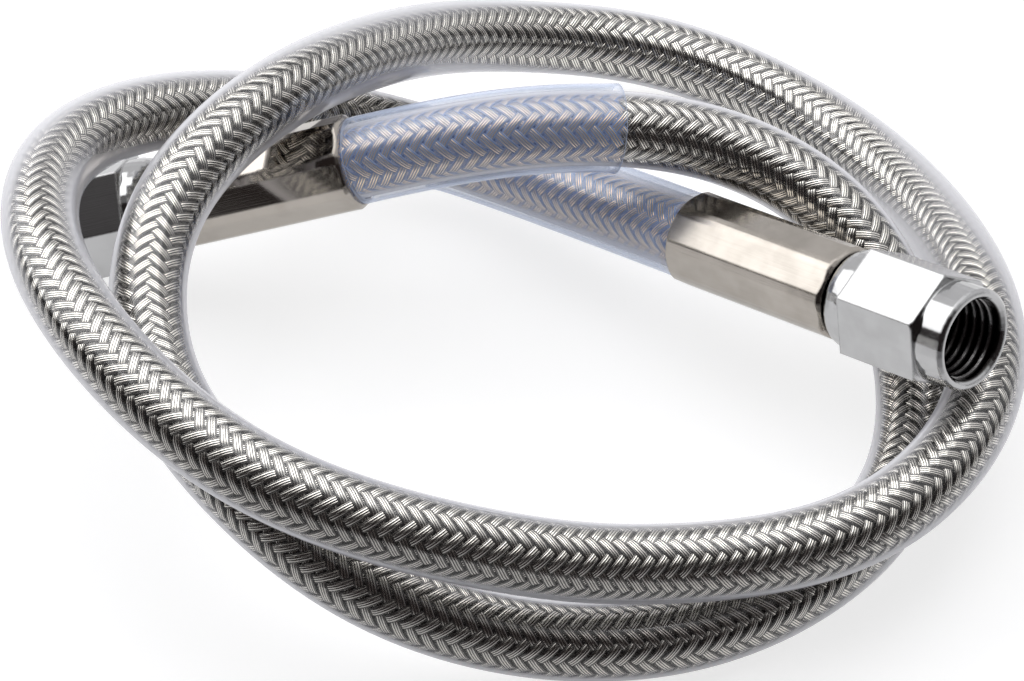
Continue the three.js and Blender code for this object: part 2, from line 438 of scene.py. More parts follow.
def mesh_from_nodes(host: Object, tree: NodeTree, sizes: dict) -> Mesh:
    """Runs a Geometry Nodes tree on an object.

    Args:
        host: the object that the tree starts from.
        tree: the node tree.
        sizes: the values of its inputs, by name.

    Returns:
        The result as a plain mesh.
    """
    modifier = host.modifiers.new("shape", "NODES")
    modifier.node_group = tree
    for item in tree.interface.items_tree:
        if item.in_out == "INPUT" and item.name in sizes:
            modifier[item.identifier] = sizes[item.name]
    evaluated = host.evaluated_get(bpy.context.evaluated_depsgraph_get())
    mesh = bpy.data.meshes.new_from_object(evaluated)
    host.modifiers.remove(modifier)
    return mesh


def grain_group() -> NodeTree:
    """Builds the group that draws fine lines along or round a turned or pressed piece of steel.

    Its Vector is a place in the piece's own frame, Stretch how many lines there are to a metre along
    each axis. Cloud varies slowly, at its own scale.

    Returns:
        The group.
    """
    cloud_scale = 320.0
    graph, taken, given = new_group(
        "steel grain", "ShaderNodeTree",
        {"Vector": "Vector", "Stretch": "Vector", "Depth": "Float"}, {"Height": "Float", "Cloud": "Float"},
    )
    place = graph.vector("MULTIPLY", taken["Vector"], taken["Stretch"])
    lines = graph.node("ShaderNodeTexNoise", Vector=place, Scale=1.0, Detail=3.0, Roughness=0.6)
    cloud = graph.node("ShaderNodeTexNoise", Vector=taken["Vector"], Scale=cloud_scale, Detail=2.0)
    graph.feed(given["Height"], graph.times(lines, taken["Depth"]))
    graph.feed(given["Cloud"], cloud)
    return graph.tree


@dataclass(frozen=True)
class SteelFinish:
    """Stainless steel with fine lines from its last working.

    Args:
        name: the material's name.
        colour: the metal's own colour.
        shade: the colour of its duller places.
        roughness: mean roughness.
        spread: how far the roughness varies.
        stretch: lines per metre along each of the fitting's axes.
        depth: strength of the lines, from 0 to 1.
        bore: radius inside which the metal is painted in shade, for the dark inside of its bore.
        bore_edge: width of the band in which that painted shade fades in.
        dark: the painted shade colour that it shows there.
        rounding: radius that its edges seem to have.
    """

    name: str
    colour: Colour
    shade: Colour
    roughness: float
    spread: float
    stretch: Place
    depth: float
    bore: float
    bore_edge: float = 0.0002
    dark: Colour = (0.035, 0.032, 0.03, 1.0)
    rounding: float = 0.00035

    GRAIN_IN_WEAR = 0.6
    WEAR = (0.35, 1.0)
    GRAIN = (0.2, 0.8)

    def make(self, end: End, grain: NodeTree) -> Material:
        """Makes the material for a piece of one fitting.

        Args:
            end: the fitting's end of the line.
            grain: the steel grain group.

        Returns:
            The material.
        """
        material, graph, principled = new_material(self.name)
        spot = graph.node(
            "ShaderNodeMapping", {"vector_type": "TEXTURE"}, Vector=graph.spot(),
            Location=ROUTE.entry(end), Rotation=ROUTE.places[end].basis().to_euler("XYZ"),
        )
        lines = graph.node(
            "ShaderNodeGroup", {"node_tree": grain}, Vector=spot, Stretch=self.stretch, Depth=self.depth,
        )
        height = lines.outputs["Height"]
        wear = graph.math("ADD", graph.times(height, self.GRAIN_IN_WEAR), lines.outputs["Cloud"])
        steel = graph.blend(graph.ramp(wear, *self.WEAR), self.colour, self.shade)
        # Painted shade: inside the bore radius the steel turns to the dark colour.
        from_axis = graph.vector("LENGTH", graph.vector("MULTIPLY", spot, (1.0, 1.0, 0.0)))
        outer = graph.ramp(from_axis, self.bore, self.bore + self.bore_edge)
        low = self.roughness - self.spread
        high = self.roughness + self.spread
        rounded = graph.node("ShaderNodeBevel", {"samples": 4}, Radius=self.rounding)
        bump = graph.node("ShaderNodeBump", Strength=0.5, Distance=RELIEF, Height=height, Normal=rounded)
        graph.fill(
            principled, Base_Color=graph.blend(outer, self.dark, steel), Metallic=1.0,
            Roughness=graph.ramp(height, *self.GRAIN, low, high), Normal=bump,
        )
        return material


@dataclass(frozen=True)
class WireFinish:
    """Bright drawn stainless wire, seen as bands of side-by-side strands, with painted shade between the
    strands and at the band sides, and painted light under a sleeve.

    Args:
        name: the material's name.
        bright: the wire's colour.
        groove_shade: painted shade, the near-black colour between strands.
        peach: the wire's colour under a blue sleeve.
        blue: the colour between strands there.
        glow: painted light, an emission on the wire inside a sleeve that stands in for light its frosted wall
            sheds on it.
        strands: wires in a band.
        roughness: gloss of the wire.
        foot: height on a strand, of 1, at which it turns from the painted shade between strands to wire.
        sleeved_foot: how much higher that is under a sleeve.
        crown: height at which it is all wire.
        edge_from: place across a band, of 1, from which painted shade darkens it towards its sides.
        edge_light: how light it still is at its very edge under that painted shade.
    """

    name: str = "braid wire"
    bright: Colour = (0.96, 0.93, 0.87, 1.0)
    groove_shade: Colour = (0.010, 0.008, 0.008, 1.0)
    peach: Colour = (1.0, 0.77, 0.49, 1.0)
    blue: Colour = (0.17, 0.30, 0.61, 1.0)
    glow: float = 0.14
    strands: int = 4
    roughness: float = 0.14
    foot: float = 0.12
    sleeved_foot: float = 0.4
    crown: float = 0.95
    edge_from: float = 0.75
    edge_light: float = 0.05

    def make(self) -> Material:
        """Makes the material, which reads the band's own across and sleeved attributes.

        Returns:
            The material.
        """
        material, graph, principled = new_material(self.name)
        across = graph.attribute("across")
        sleeved = graph.attribute("sleeved")
        phase = graph.times(across, self.strands * math.pi / 2)
        crest = graph.math("ABSOLUTE", graph.math("COSINE", phase))
        # Painted shade: each band darkens towards its sides.
        edge = graph.ramp(graph.math("ABSOLUTE", across), self.edge_from, 1.0, 1.0, self.edge_light)
        foot = graph.math("ADD", self.foot, graph.times(sleeved, self.sleeved_foot))
        lit = graph.times(graph.ramp(crest, foot, self.crown), edge)
        # Painted shade between the strands, blue under a sleeve.
        groove_shade = graph.blend(sleeved, self.groove_shade, self.blue)
        wire = graph.blend(sleeved, self.bright, self.peach)
        tone = graph.blend(lit, groove_shade, wire)
        matt = graph.times(sleeved, graph.math("SUBTRACT", 1.0, lit))
        bump = graph.node("ShaderNodeBump", Strength=1.0, Distance=RELIEF, Height=crest)
        # Painted light: under a sleeve the wire also glows in its own tone.
        graph.fill(
            principled, Base_Color=tone, Metallic=graph.math("SUBTRACT", 1.0, matt), Roughness=self.roughness,
            Normal=bump, Emission_Color=graph.blend(sleeved, BLACK, tone), Emission_Strength=self.glow,
        )
        return material


@dataclass(frozen=True)
class CoreShadeFinish:
    """Painted shade in the gaps of the braid: a near-black tube in two tones that stands in for the shade
    inside the weave, blue under a sleeve.
    """

    name: str = "braid core shade"
    dark: Colour = (0.01, 0.008, 0.0075, 1.0)
    pale: Colour = (0.02, 0.016, 0.015, 1.0)
    blue: Colour = (0.10, 0.20, 0.48, 1.0)
    speck_scale: float = 2600.0
    roughness: float = 0.5

    SPECK = (0.35, 0.65)

    def make(self, sleeved_to: float, sleeved_from: float) -> Material:
        """Makes the material.

        Args:
            sleeved_to: length along the braid at which the first sleeve ends.
            sleeved_from: length at which the second one begins.

        Returns:
            The material.
        """
        material, graph, principled = new_material(self.name)
        speck = graph.node("ShaderNodeTexNoise", Vector=graph.spot(), Scale=self.speck_scale, Detail=1.0)
        plain = graph.blend(graph.ramp(speck, *self.SPECK), self.dark, self.pale)
        along = graph.parts(graph.node("ShaderNodeUVMap", {"uv_map": "UVMap"}))["X"]
        first = graph.math("LESS_THAN", along, sleeved_to)
        second = graph.math("GREATER_THAN", along, sleeved_from)
        sleeved = graph.math("MAXIMUM", first, second)
        graph.fill(principled, Base_Color=graph.blend(sleeved, plain, self.blue), Roughness=self.roughness)
        return material


@dataclass(frozen=True)
class ClearFinish:
    """Clear soft plastic in a thin wall: nearly unseen face on, milky where it is seen edge on, with painted
    light glowing at its rims.

    Args:
        name: the material's name.
        colour: the plastic's own faint colour.
        roughness: gloss of the surface.
        face_on: how much it hides of what lies under it, seen face on.
        edge_on: how much it hides at its rims.
        gloss: how strongly it mirrors the room, as a multiple of plain glass.
        painted_rim_light: painted light, an emission at its rims that stands in for light the wall carries
            along to them.
        ior: how strongly it bends light.
        rim_from: the slope, of 1, at which a rim begins.
        rim_to: the slope at which it is full.
        most_mirrored: the largest share that it mirrors.
        shadow_cut: the share of its shadow that is left out.
        waves: changes of gloss per unit of the UV map.
    """

    name: str
    colour: Colour
    roughness: float
    face_on: float
    edge_on: float
    gloss: float
    painted_rim_light: float
    ior: float = 1.45
    rim_from: float = 0.36
    rim_to: float = 0.72
    most_mirrored: float = 0.25
    shadow_cut: float = 0.8
    waves: Place = (45.0, 14.0, 0.0)

    WAVE = (0.3, 0.7)
    GLOSS_CHANGE = (0.7, 1.4)

    def make(self) -> Material:
        """Makes the material. Its bore is left clear, and so is most of its shadow.

        The mirrored share is borne by the metal part of the shader, and the haze by its plain part.

        Returns:
            The material.
        """
        material, graph, principled = new_material(self.name)
        wave = graph.node("ShaderNodeUVMap", {"uv_map": "UVMap"})
        place = graph.vector("MULTIPLY", wave, self.waves)
        noise = graph.node("ShaderNodeTexNoise", Vector=place, Scale=1.0, Detail=0.0)
        rough = graph.ramp(noise, *self.WAVE, *(self.roughness * part for part in self.GLOSS_CHANGE))
        facing = graph.node("ShaderNodeLayerWeight", Blend=0.5).outputs["Facing"]
        haze = graph.ramp(facing, self.rim_from, self.rim_to, self.face_on, self.edge_on)
        painted_rim_light = graph.ramp(facing, self.rim_from, self.rim_to, 0.0, self.painted_rim_light)
        glass = graph.node("ShaderNodeFresnel", IOR=self.ior)
        mirror = graph.math("MINIMUM", self.most_mirrored, graph.times(glass, self.gloss))
        cover = graph.math("ADD", haze, mirror)
        share = graph.math("DIVIDE", mirror, cover)
        shadow = graph.node("ShaderNodeLightPath").outputs["Is Shadow Ray"]
        through = graph.math("SUBTRACT", 1.0, graph.times(shadow, self.shadow_cut))
        seen = graph.times(graph.math("MINIMUM", 1.0, cover), graph.attribute("outside"))
        # Painted light: the rims glow in the plastic's own colour.
        graph.fill(
            principled, Base_Color=graph.blend(share, self.colour, WHITE), Metallic=share, Roughness=rough,
            IOR=self.ior, Alpha=graph.times(seen, through),
            Emission_Color=self.colour, Emission_Strength=painted_rim_light,
        )
        return material


@dataclass(frozen=True)
class LinerFinish:
    """Milky white fluoropolymer in two near tones, colour and pale."""

    name: str = "liner"
    colour: Colour = (0.86, 0.85, 0.81, 1.0)
    pale: Colour = (0.93, 0.92, 0.89, 1.0)
    cloud_scale: float = 400.0
    roughness: float = 0.35

    def make(self) -> Material:
        """Makes the material.

        Returns:
            The material.
        """
        material, graph, principled = new_material(self.name)
        cloud = graph.node("ShaderNodeTexNoise", Vector=graph.spot(), Scale=self.cloud_scale, Detail=2.0)
        tone = graph.blend(cloud, self.colour, self.pale)
        graph.fill(principled, Base_Color=tone, Roughness=self.roughness)
        return material


def dress(piece: Object, material: Material) -> None:
    """Gives an object one material in place of any that it has."""
    piece.data.materials.clear()
    piece.data.materials.append(material)


def link(piece: Object) -> Object:
    """Links an object to the scene and returns it."""
    bpy.context.scene.collection.objects.link(piece)
    return piece


def add_object(name: str, mesh: Mesh, material: Material) -> Object:
    """Links a mesh to the scene as an object at the origin, with one material.

    Args:
        name: the object's name.
        mesh: its mesh.
        material: its material.

    Returns:
        The object.
    """
    piece = link(bpy.data.objects.new(name, mesh))
    dress(piece, material)
    return piece


def transported_frames(path: list[Vector]) -> list[tuple[Vector, Vector]]:
    """Finds a pair of directions across a path at each of its points, with no twist between them.

    Args:
        path: the points.

    Returns:
        Two unit vectors for each point, square to the path and to each other.
    """
    tangents = []
    for k in range(len(path)):
        before = path[max(0, k - 1)]
        after = path[min(len(path) - 1, k + 1)]
        tangents.append((after - before).normalized())
    across = tangents[0].orthogonal().normalized()
    frames = []
    for tangent in tangents:
        across = (across - tangent * across.dot(tangent)).normalized()
        frames.append((across, tangent.cross(across)))
    return frames


def tube_mesh(
    name: str, path: list[Vector], outer: list[float], inner: list[float], sides: int
) -> Mesh:
    """Builds an open-ended tube with a wall, closed by a ring at each end.

    Args:
        name: the mesh's name.
        path: the centreline.
        outer: outer radius at each point.
        inner: bore radius at each point.
        sides: sides of its section.

    Returns:
        The mesh, with lengths along and round it as its UV map, and outside as 0 on its bore.
    """
    shape = bmesh.new()
    layer = shape.loops.layers.uv.new("UVMap")
    angles = [2 * math.pi * k / sides for k in range(sides)]
    rings = []
    for point, (level, upper), far, near in zip(path, transported_frames(path), outer, inner):
        ring = []
        for radius in (far, near):
            places = [point + (level * math.cos(a) + upper * math.sin(a)) * radius for a in angles]
            ring.append([shape.verts.new(place) for place in places])
        rings.append(ring)
    travelled = distances_along(path)

    def add_face(corners: list[bmesh.types.BMVert], places: list[tuple[float, float]], smooth: bool) -> None:
        """Adds one face.

        Args:
            corners: its corners.
            places: their places on the UV map.
            smooth: whether it is shaded smooth.
        """
        face = shape.faces.new(corners)
        face.smooth = smooth
        for loop, place in zip(face.loops, places):
            loop[layer].uv = place

    for j in range(len(path) - 1):
        for k in range(sides):
            after = (k + 1) % sides
            here, there = travelled[j], travelled[j + 1]
            low, high = k / sides, (k + 1) / sides
            starts, ends = [(here, low), (here, high)], [(there, high), (there, low)]
            a, b = rings[j][0], rings[j + 1][0]
            add_face([a[k], a[after], b[after], b[k]], [*starts, *ends], True)
            a, b = rings[j][1], rings[j + 1][1]
            add_face([a[k], b[k], b[after], a[after]], [starts[0], *reversed(ends), starts[1]], True)
    for j, order in ((0, -1), (len(path) - 1, 1)):
        far, near = rings[j]
        for k in range(sides):
            after = (k + 1) % sides
            corners = [far[k], far[after], near[after], near[k]][::order]
            add_face(corners, [(travelled[j], k / sides)] * 4, False)
    mesh = bpy.data.meshes.new(name)
    shape.to_mesh(mesh)
    shape.free()
    walls = [1.0, 0.0] * sides * (len(path) - 1)
    rims = [1.0] * 2 * sides
    mesh.attributes.new("outside", "FLOAT", "FACE").data.foreach_set("value", walls + rims)
    return mesh


@dataclass
class WireBraid:
    """The woven stainless cover: bands of wire that cross over two and under two.

    Args:
        carriers: bands that wind each way.
        lead: length of hose in which a band goes once round.
        radius: mean radius of the weave.
        rise: how far a band lies out or in of that radius.
        width: width of a band.
        thickness: thickness of a band.
        step: distance between a band's points along the hose.
        first_knot: knot at which the braid begins, counted from either end of the route.
        groups: number of pieces that the bands are shared among.
        core_radius: radius of the near-black core under the bands, painted shade for the gaps of the braid.
        core_wall: thickness of that core.
        core_sides: sides of its section.
        core_step: distance between its rings.
    """

    carriers: int = 12
    lead: float = 0.0180
    radius: float = 0.00343
    rise: float = 0.00014
    width: float = 0.00102
    thickness: float = 0.00026
    step: float = 0.00038
    first_knot: float = 0.88
    groups: int = 4
    core_radius: float = 0.00316
    core_wall: float = 0.0003
    core_sides: int = 20
    core_step: float = 0.0012

    INTEGERS = ("First Band", "Band Count", "Carriers")
    LENGTHS = ("Lead", "Radius", "Rise", "Width", "Thickness", "Step", "Sleeved To", "Sleeved From")
    SECTION_SIDES = 8
    SECTION_RADIUS = 0.54
    ROUNDNESS = 0.25
    CROSSING = 0.75

    def profile(self, graph: Graph, taken: NodeOutputs) -> tuple[object, object]:
        """Lays the nodes of a band's section, a flattened octagon with its width along Y.

        Args:
            graph: the graph that they go into.
            taken: what the tree's inputs hand in.

        Returns:
            The section, and each point's place across the band from -1 to 1.
        """
        ring = graph.node(
            "GeometryNodeCurvePrimitiveCircle", Resolution=self.SECTION_SIDES, Radius=self.SECTION_RADIUS,
        )
        turn = (0.0, 0.0, math.pi / self.SECTION_SIDES)
        turned = graph.node("GeometryNodeTransform", Geometry=ring, Rotation=turn)
        spot = graph.parts(graph.node("GeometryNodeInputPosition"))
        far = graph.times(graph.math("ABSOLUTE", spot["Y"]), 2.0)
        spread = graph.math("POWER", far, self.ROUNDNESS)
        side = graph.times(graph.times(spread, 0.5), graph.math("SIGN", spot["Y"]))
        flat_spot = graph.node("ShaderNodeCombineXYZ", X=spot["X"], Y=side)
        flattened = graph.node("GeometryNodeSetPosition", Geometry=turned, Position=flat_spot)
        size = graph.node("ShaderNodeCombineXYZ", X=taken["Thickness"], Y=taken["Width"], Z=1.0)
        flat = graph.node("GeometryNodeTransform", Geometry=flattened, Scale=size)
        place = graph.parts(graph.node("GeometryNodeInputPosition"))
        across = graph.math("DIVIDE", place["Y"], graph.times(taken["Width"], 0.5))
        noted = graph.node("GeometryNodeCaptureAttribute", {"domain": "POINT"}, Geometry=flat)
        noted.capture_items.new("FLOAT", "Across")
        graph.feed(noted.inputs["Across"], across)
        return noted, noted.outputs["Across"]

    def tree(self) -> NodeTree:
        """Builds the node tree that lays the bands along a centreline.

        Returns:
            The tree, with the sizes as named inputs.
        """
        inputs = {"Geometry": "Geometry"}
        inputs.update(dict.fromkeys(self.INTEGERS, "Int"))
        inputs.update(dict.fromkeys(self.LENGTHS, "Float"))
        inputs["Material"] = "Material"
        graph, taken, given = new_group("braid bands", "GeometryNodeTree", inputs, {"Geometry": "Geometry"})

        lengths = {"mode": "LENGTH"}
        even = graph.node("GeometryNodeResampleCurve", lengths, Curve=taken["Geometry"], Length=taken["Step"])
        copies = graph.node(
            "GeometryNodeDuplicateElements", {"domain": "SPLINE"},
            Geometry=even, Amount=taken["Band Count"],
        )
        number = graph.math("ADD", copies.outputs["Duplicate Index"], taken["First Band"])
        other_way = graph.math("GREATER_THAN", number, graph.math("SUBTRACT", taken["Carriers"], 0.5))
        hand = graph.math("SUBTRACT", 1.0, graph.times(2.0, other_way))
        length = graph.node("GeometryNodeSplineParameter").outputs["Length"]
        turns = graph.times(graph.math("DIVIDE", length, taken["Lead"]), hand)
        share = graph.math("DIVIDE", number, taken["Carriers"])
        angle = graph.times(graph.math("ADD", turns, share), 2 * math.pi)

        level = graph.node("GeometryNodeInputNormal").outputs["Normal"]
        tangent = graph.node("GeometryNodeInputTangent")
        upper = graph.vector("CROSS_PRODUCT", tangent, level)
        outward = graph.vector(
            "ADD",
            graph.vector("SCALE", level, graph.math("COSINE", angle)),
            graph.vector("SCALE", upper, graph.math("SINE", angle)),
        )
        sectors = graph.math("DIVIDE", taken["Carriers"], 2.0)
        half_column = math.pi / 4
        wave = graph.math("SINE", graph.math("ADD", graph.times(angle, sectors), half_column))
        swing = graph.times(hand, taken["Rise"])
        lift = graph.times(graph.ramp(wave, -self.CROSSING, self.CROSSING, -1.0, 1.0), swing)
        shift = graph.vector("SCALE", outward, graph.math("ADD", taken["Radius"], lift))

        kept = graph.node("GeometryNodeCaptureAttribute", {"domain": "POINT"}, Geometry=copies)
        kept.capture_items.new("VECTOR", "Outward")
        kept.capture_items.new("FLOAT", "Sleeved")
        graph.feed(kept.inputs["Outward"], outward)
        first_sleeve = graph.math("LESS_THAN", length, taken["Sleeved To"])
        second_sleeve = graph.math("GREATER_THAN", length, taken["Sleeved From"])
        graph.feed(kept.inputs["Sleeved"], graph.math("MAXIMUM", first_sleeve, second_sleeve))
        moved = graph.node("GeometryNodeSetPosition", Geometry=kept, Offset=shift)
        turned = graph.node(
            "GeometryNodeSetCurveNormal", {"mode": "FREE"},
            Curve=moved, Normal=kept.outputs["Outward"],
        )

        section, across = self.profile(graph, taken)
        shape = graph.node("GeometryNodeCurveToMesh", Curve=turned, Profile_Curve=section, Fill_Caps=True)
        for name, value in (("across", across), ("sleeved", kept.outputs["Sleeved"])):
            shape = graph.node(
                "GeometryNodeStoreNamedAttribute", {"data_type": "FLOAT", "domain": "POINT"},
                Geometry=shape, Name=name, Value=value,
            )
        smooth = graph.node("GeometryNodeSetShadeSmooth", Geometry=shape)
        return end_tree(graph, smooth, taken, given)

    def centreline(self) -> Object:
        """Makes the curve that the bands follow.

        Returns:
            The curve.
        """
        path = ROUTE.sample(self.first_knot, ROUTE.last_knot() - self.first_knot, self.step)
        curve = bpy.data.curves.new("braid centreline", "CURVE")
        curve.dimensions = "3D"
        spline = curve.splines.new("POLY")
        spline.points.add(len(path) - 1)
        for point, place in zip(spline.points, path):
            point.co = (*place, 1.0)
        return link(bpy.data.objects.new("braid_centreline", curve))

    def sleeved(self) -> tuple[float, float]:
        """Returns the lengths along the braid at which the first sleeve ends and the second begins."""
        to = ROUTE.length(self.first_knot, SLEEVE_KNOTS[End.RIGHT])
        return to, ROUTE.length(self.first_knot, ROUTE.last_knot() - SLEEVE_KNOTS[End.LEFT])

    def core(self) -> Object:
        """Builds the near-black core under the bands, painted shade for the gaps of the braid.

        Returns:
            The piece.
        """
        path = ROUTE.sample(self.first_knot, ROUTE.last_knot() - self.first_knot, self.core_step)
        radii = [self.core_radius] * len(path)
        bores = [self.core_radius - self.core_wall] * len(path)
        mesh = tube_mesh("braid_shade_core", path, radii, bores, self.core_sides)
        return add_object("braid_shade_core", mesh, CoreShadeFinish().make(*self.sleeved()))

    def build(self) -> list[Object]:
        """Weaves the bands as plain meshes and lays the painted-shade core under them.

        Returns:
            The pieces.
        """
        wire = WireFinish().make()
        tree = self.tree()
        line = self.centreline()
        sleeved_to, sleeved_from = self.sleeved()
        each = 2 * self.carriers // self.groups
        sizes = {
            "Carriers": self.carriers, "Lead": self.lead, "Radius": self.radius, "Rise": self.rise,
            "Width": self.width, "Thickness": self.thickness, "Step": self.step, "Material": wire,
            "Sleeved To": sleeved_to, "Sleeved From": sleeved_from, "Band Count": each,
        }
        pieces = []
        for group in range(self.groups):
            mesh = mesh_from_nodes(line, tree, {**sizes, "First Band": group * each})
            pieces.append(add_object(f"braid_bands_{group + 1}", mesh, wire))
        bpy.data.objects.remove(line)
        return [*pieces, self.core()]


@dataclass
class ClearJacket:
    """The clear outer tube of the hose. Its first knot is that of a cut end, counted from either end."""

    radius: float = 0.00395
    bore: float = 0.00379
    sides: int = 40
    spacing: float = 0.0011
    first_knot: float = 0.5
    finish: ClearFinish = ClearFinish(
        name="clear jacket", colour=(0.62, 0.62, 0.68, 1.0), roughness=0.16,
        face_on=0.01, edge_on=0.6, gloss=2.0, painted_rim_light=0.12,
    )

    def build(self) -> Object:
        """Builds the tube.

        Returns:
            The piece.
        """
        path = self.path()
        outer = [self.radius] * len(path)
        inner = [self.bore] * len(path)
        mesh = tube_mesh("hose_jacket", path, outer, inner, self.sides)
        piece = add_object("hose_jacket", mesh, self.finish.make())
        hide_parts("clear_jacket")
        return piece

    def path(self) -> list[Vector]:
        """Returns the centreline between the jacket's cut ends."""
        return ROUTE.sample(self.first_knot, ROUTE.last_knot() - self.first_knot, self.spacing)

    def declare(self) -> None:
        path = self.path()
        ROUTE.entry(End.RIGHT)


SLEEVE_PLASTIC = ClearFinish(
    name="support sleeve", colour=(0.48, 0.60, 0.88, 1.0), roughness=0.2,
    face_on=0.08, edge_on=0.4, gloss=1.3, painted_rim_light=0.12,
)


@dataclass
class SupportSleeve:
    """The short blue-tinted clear sleeve where the hose leaves a ferrule.

    Args:
        flare: how far its free end opens.
        flared: the share of its length that opens.
    """

    end: End
    radius: float = 0.00460
    bore: float = 0.00436
    flare: float = 0.00012
    flared: float = 0.1
    sides: int = 40
    spacing: float = 0.0009

    def build(self, finish: Material) -> Object:
        """Builds the sleeve.

        Args:
            finish: its material.

        Returns:
            The piece.
        """
        last = ROUTE.last_knot()
        reach = SLEEVE_KNOTS[self.end]
        stretch = (1, reach) if self.end is End.RIGHT else (last - reach, last - 1)
        path = ROUTE.sample(*stretch, self.spacing)
        if self.end is End.LEFT:
            path.reverse()
        share = [k / (len(path) - 1) for k in range(len(path))]
        opening = [self.flare * max(0.0, (s - 1.0 + self.flared) / self.flared) ** 2 for s in share]
        outer = [self.radius + wide for wide in opening]
        inner = [self.bore + wide for wide in opening]
        name = f"clear_sleeve_{self.end.value}"
        piece = add_object(name, tube_mesh(name, path, outer, inner, self.sides), finish)
        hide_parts(f"support_sleeve_{self.end.value}")
        return piece


@dataclass
class NutThread:
    """The thread inside a nut: one ridge wound along its bore, 24 turns to the inch.

    Args:
        end: the nut's end of the line.
        pitch: distance between turns.
        first: station along the fitting where the ridge begins.
        last: station where it ends.
        bore: radius of the bore that it stands on.
        depth: height of the ridge.
        width: width of its foot.
        sunk: how deep its foot lies in the steel.
        turn_points: points to a turn.
    """

    end: End
    pitch: float = 0.0254 / 24
    first: float = 0.03155
    last: float = 0.03765
    bore: float = 0.00425
    depth: float = 0.00030
    width: float = 0.00080
    sunk: float = 0.00003
    turn_points: int = 48

    def tree(self) -> NodeTree:
        """Builds the node tree that sweeps the ridge along a rising coil.

        Returns:
            The tree, with the sizes as named inputs.
        """
        inputs = {"Geometry": "Geometry", "Material": "Material"}
        inputs.update(dict.fromkeys(("Turns", "Height", "Radius", "Foot", "Crest"), "Float"))
        graph, taken, given = new_group("nut thread", "GeometryNodeTree", inputs, {"Geometry": "Geometry"})
        coil = graph.node(
            "GeometryNodeCurveSpiral", Resolution=self.turn_points, Rotations=taken["Turns"],
            Height=taken["Height"], Start_Radius=taken["Radius"], End_Radius=taken["Radius"],
        )
        spot = graph.node("GeometryNodeInputPosition")
        inward = graph.vector("MULTIPLY", spot, (-1.0, -1.0, 0.0))
        turned = graph.node(
            "GeometryNodeSetCurveNormal", {"mode": "FREE"},
            Curve=coil, Normal=graph.vector("NORMALIZE", inward),
        )
        corner = graph.node("GeometryNodeCurvePrimitiveCircle", Resolution=3, Radius=1.0)
        size = graph.node("ShaderNodeCombineXYZ", X=taken["Crest"], Y=taken["Foot"], Z=1.0)
        profile = graph.node("GeometryNodeTransform", Geometry=corner, Scale=size)
        swept = graph.node("GeometryNodeCurveToMesh", Curve=turned, Profile_Curve=profile, Fill_Caps=True)
        return end_tree(graph, swept, taken, given)

    def build(self, tree: NodeTree, steel: Material) -> Object:
        """Builds the ridge inside its nut. Its section is a triangle of radius 1, scaled by foot and crest.

        Args:
            tree: the node tree.
            steel: its material.

        Returns:
            The piece.
        """
        height = self.last - self.first
        crest = (self.depth + self.sunk) / 1.5
        sizes = {
            "Turns": height / self.pitch, "Height": height, "Radius": self.bore + self.sunk - crest / 2,
            "Foot": self.width / math.sqrt(3), "Crest": crest, "Material": steel,
        }
        host = link(bpy.data.objects.new("thread host", bpy.data.meshes.new("thread blank")))
        mesh = mesh_from_nodes(host, tree, sizes)
        bpy.data.objects.remove(host)
        place = ROUTE.places[self.end]
        start = ROUTE.entry(self.end) + place.axis() * self.first
        mesh.transform(Matrix.Translation(start) @ place.basis().to_4x4())
        return add_object(f"nut_thread_{self.end.value}", mesh, steel)


class Fittings:
    """The steel pieces of both ends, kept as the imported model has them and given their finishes."""

    ALONG: Place = (9000.0, 9000.0, 160.0)
    ROUND: Place = (700.0, 700.0, 16000.0)
    WARM: Colour = (0.47, 0.435, 0.395, 1.0)
    WARM_DULL: Colour = (0.38, 0.35, 0.315, 1.0)
    BRIGHT: Colour = (0.51, 0.51, 0.515, 1.0)
    DULL: Colour = (0.44, 0.44, 0.44, 1.0)
    SHADED: Colour = (0.34, 0.33, 0.33, 1.0)
    # Radii inside which the insert and the nut are painted in shade.
    INSERT_BORE = 0.0041
    NUT_BORE = 0.00427

    def finishes(self, end: End) -> dict[str, SteelFinish]:
        """Chooses the steel of one fitting's pieces. The right-hand one is satin, the other polished.

        Args:
            end: the fitting's end of the line.

        Returns:
            The finish of each piece, by its node.
        """
        letter = end.value
        satin = end is End.RIGHT
        return {
            f"crimp_ferrule_{letter}": SteelFinish(
                f"ferrule {letter}", self.WARM, self.WARM_DULL, roughness=0.2 if satin else 0.1,
                spread=0.05, stretch=self.ALONG, depth=0.5 if satin else 0.05, bore=0.0,
            ),
            f"hose_insert_{letter}": SteelFinish(
                f"insert {letter}", self.BRIGHT, self.DULL, roughness=0.2,
                spread=0.06, stretch=self.ROUND, depth=0.6, bore=self.INSERT_BORE,
            ),
            f"swivel_nut_{letter}": SteelFinish(
                f"nut {letter}", self.BRIGHT, self.DULL, roughness=0.18 if satin else 0.1,
                spread=0.05, stretch=self.ALONG, depth=0.4 if satin else 0.1, bore=self.NUT_BORE,
            ),
        }

    def build(self) -> None:
        """Gives each ferrule, insert and nut its own steel, and each nut its thread."""
        grain = grain_group()
        tree = NutThread(End.RIGHT).tree()
        for end in End:
            for node, finish in self.finishes(end).items():
                dress(frame["nodes"][node], finish.make(end, grain))
                LOG.info("%s in %s", node, finish.name)
            # Painted shade: the thread gets the darker SHADED steel, for the shade deep in the nut's bore.
            cut = SteelFinish(
                f"thread {end.value}", self.SHADED, self.DULL, roughness=0.14,
                spread=0.04, stretch=self.ROUND, depth=0.4, bore=0.0,
            )
            thread = NutThread(end).build(tree, cut.make(end, grain))
            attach(thread, f"nut_{end.value}")
            LOG.info("%s: %d faces", thread.name, len(thread.data.polygons))


